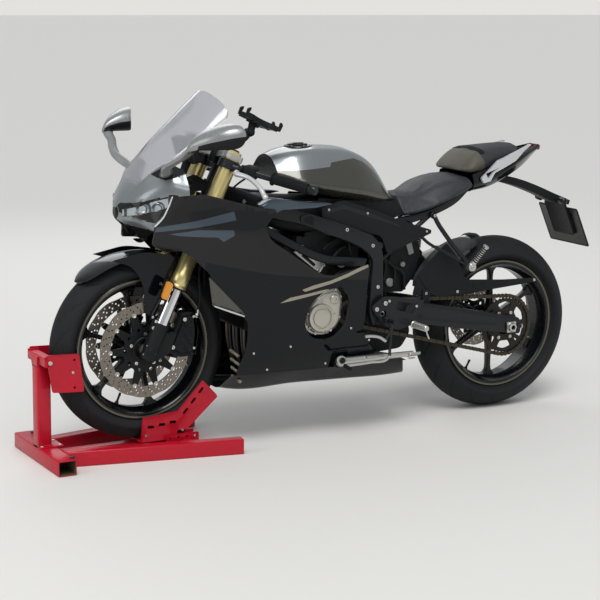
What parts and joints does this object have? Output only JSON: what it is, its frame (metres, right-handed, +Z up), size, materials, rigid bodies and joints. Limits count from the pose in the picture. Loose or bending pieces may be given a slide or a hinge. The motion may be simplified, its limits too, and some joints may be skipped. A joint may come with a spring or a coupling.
{
  "type": "sport motorcycle on a front wheel chock",
  "caption": "Faired middleweight sport motorcycle with chain drive and clip-on bars, its front wheel held upright in a red steel wheel chock.",
  "frame": {"origin": "on the floor below the middle of the whole object, motorcycle and chock together", "axes": "+X towards the front wheel and the chock, +Y to the rider's left, +Z up"},
  "size_m": [2.1021, 0.92, 1.1691],
  "materials": {
    "tyre": "satin black rubber",
    "black_alloy": "satin black wheel paint",
    "disc_steel": "ground braking band, darkened by heat",
    "chain_steel": "oiled steel",
    "black_frame": "satin black powder coat",
    "engine_alloy": "dark grey cast finish",
    "cover_alloy": "silver cast finish",
    "radiator_core": "matte black fins",
    "header_steel": "heat-tinted stainless steel",
    "silencer_steel": "brushed stainless steel",
    "tank_paint": "silver-grey metallic gloss",
    "cap_metal": "dark anodised",
    "gloss_black": "gloss black paint with blue-grey and grey-gold graphics",
    "matte_black": "grained black plastic",
    "lamp_glass": "clear lamp cover",
    "clear_screen": "clear tinted screen",
    "red_lens": "red lamp lens",
    "mirror_shell": "grey metallic shell",
    "seat_cover": "black seat cover",
    "light_trim": "light grey metallic",
    "plate_black": "plain black plate",
    "bare_steel": "bright steel",
    "gold_anodised": "pale gold anodised",
    "chrome_leg": "hard chrome",
    "black_foot": "satin black",
    "yoke_alloy": "silver finish",
    "grip_rubber": "black rubber",
    "lever_alloy": "polished alloy",
    "caliper_alloy": "dark anodised",
    "guard_gloss": "gloss black and blue-grey",
    "hose_rubber": "black braided hose",
    "chock_red": "red gloss powder coat"
  },
  "bodies": {
    "chassis": {"main_frame": "black_frame", "subframe": "black_frame", "engine": "engine_alloy", "engine_covers": "cover_alloy", "radiator": "radiator_core", "exhaust": "header_steel", "silencer": "silencer_steel", "fuel_tank": "tank_paint", "shoulder_panels": "gloss_black", "nose_fairing": "gloss_black", "fairing_stay": "black_frame", "headlamps": "lamp_glass", "windscreen": "clear_screen", "side_fairing_left": "gloss_black", "side_fairing_right": "gloss_black", "belly_pan": "gloss_black", "mirrors": "mirror_shell", "instrument_panel": "matte_black", "frame_side_covers": "gloss_black", "rider_seat": "seat_cover", "pillion_seat": "seat_cover", "tail_cowl": "gloss_black", "tail_trims": "light_trim", "tail_lamp": "red_lens", "plate_hanger": "matte_black", "number_plate": "plate_black", "swingarm": "black_frame", "rear_shock": "bare_steel", "chain_guard": "matte_black", "drive_chain": "chain_steel", "rear_axle": "bare_steel", "rear_caliper": "caliper_alloy", "rider_footrests": "yoke_alloy", "pillion_footrests": "black_frame"},
    "steering": {"fork_outer_tubes": "gold_anodised", "fork_inner_legs": "chrome_leg", "fork_feet": "black_foot", "yokes": "yoke_alloy", "handlebars": "black_frame", "grips": "grip_rubber", "hand_levers": "lever_alloy", "front_mudguard": "guard_gloss", "front_calipers": "caliper_alloy", "front_axle": "bare_steel", "brake_hoses": "hose_rubber", "phone_holder": "matte_black", "chock_frame": "chock_red", "chock_clamps": "chock_red", "chock_cradle": "chock_red"},
    "front_wheel": {"front_tyre": "tyre", "front_rim": "black_alloy", "front_discs": "disc_steel"},
    "rear_wheel": {"rear_tyre": "tyre", "rear_rim": "black_alloy", "rear_disc": "disc_steel", "rear_sprocket": "chain_steel"},
    "side_stand": {"side_stand": "bare_steel"},
    "filler_cap": {"filler_lid": "cap_metal"}
  },
  "joints": [
    {"name": "steering", "type": "hinge", "parent": "chassis", "child": "steering", "pos_m": [0.6699, 0, 0.3321], "axis": [-0.4289, 0, 0.9033], "range_deg": [-26, 26]},
    {"name": "front_wheel_spin", "type": "hinge", "parent": "steering", "child": "front_wheel", "pos_m": [0.697, 0, 0.345], "axis": [0, 1, 0], "continuous": true},
    {"name": "rear_wheel_spin", "type": "hinge", "parent": "chassis", "child": "rear_wheel", "pos_m": [-0.693, 0, 0.312], "axis": [0, 1, 0], "continuous": true},
    {"name": "side_stand_swing", "type": "hinge", "parent": "chassis", "child": "side_stand", "pos_m": [0.037, 0.188, 0.268], "axis": [0, -0.91, -0.4147], "range_deg": [0, 104]},
    {"name": "filler_cap_hinge", "type": "hinge", "parent": "chassis", "child": "filler_cap", "pos_m": [0.139, 0, 0.9823], "axis": [0, 1, 0], "range_deg": [0, 95]}
  ]
}
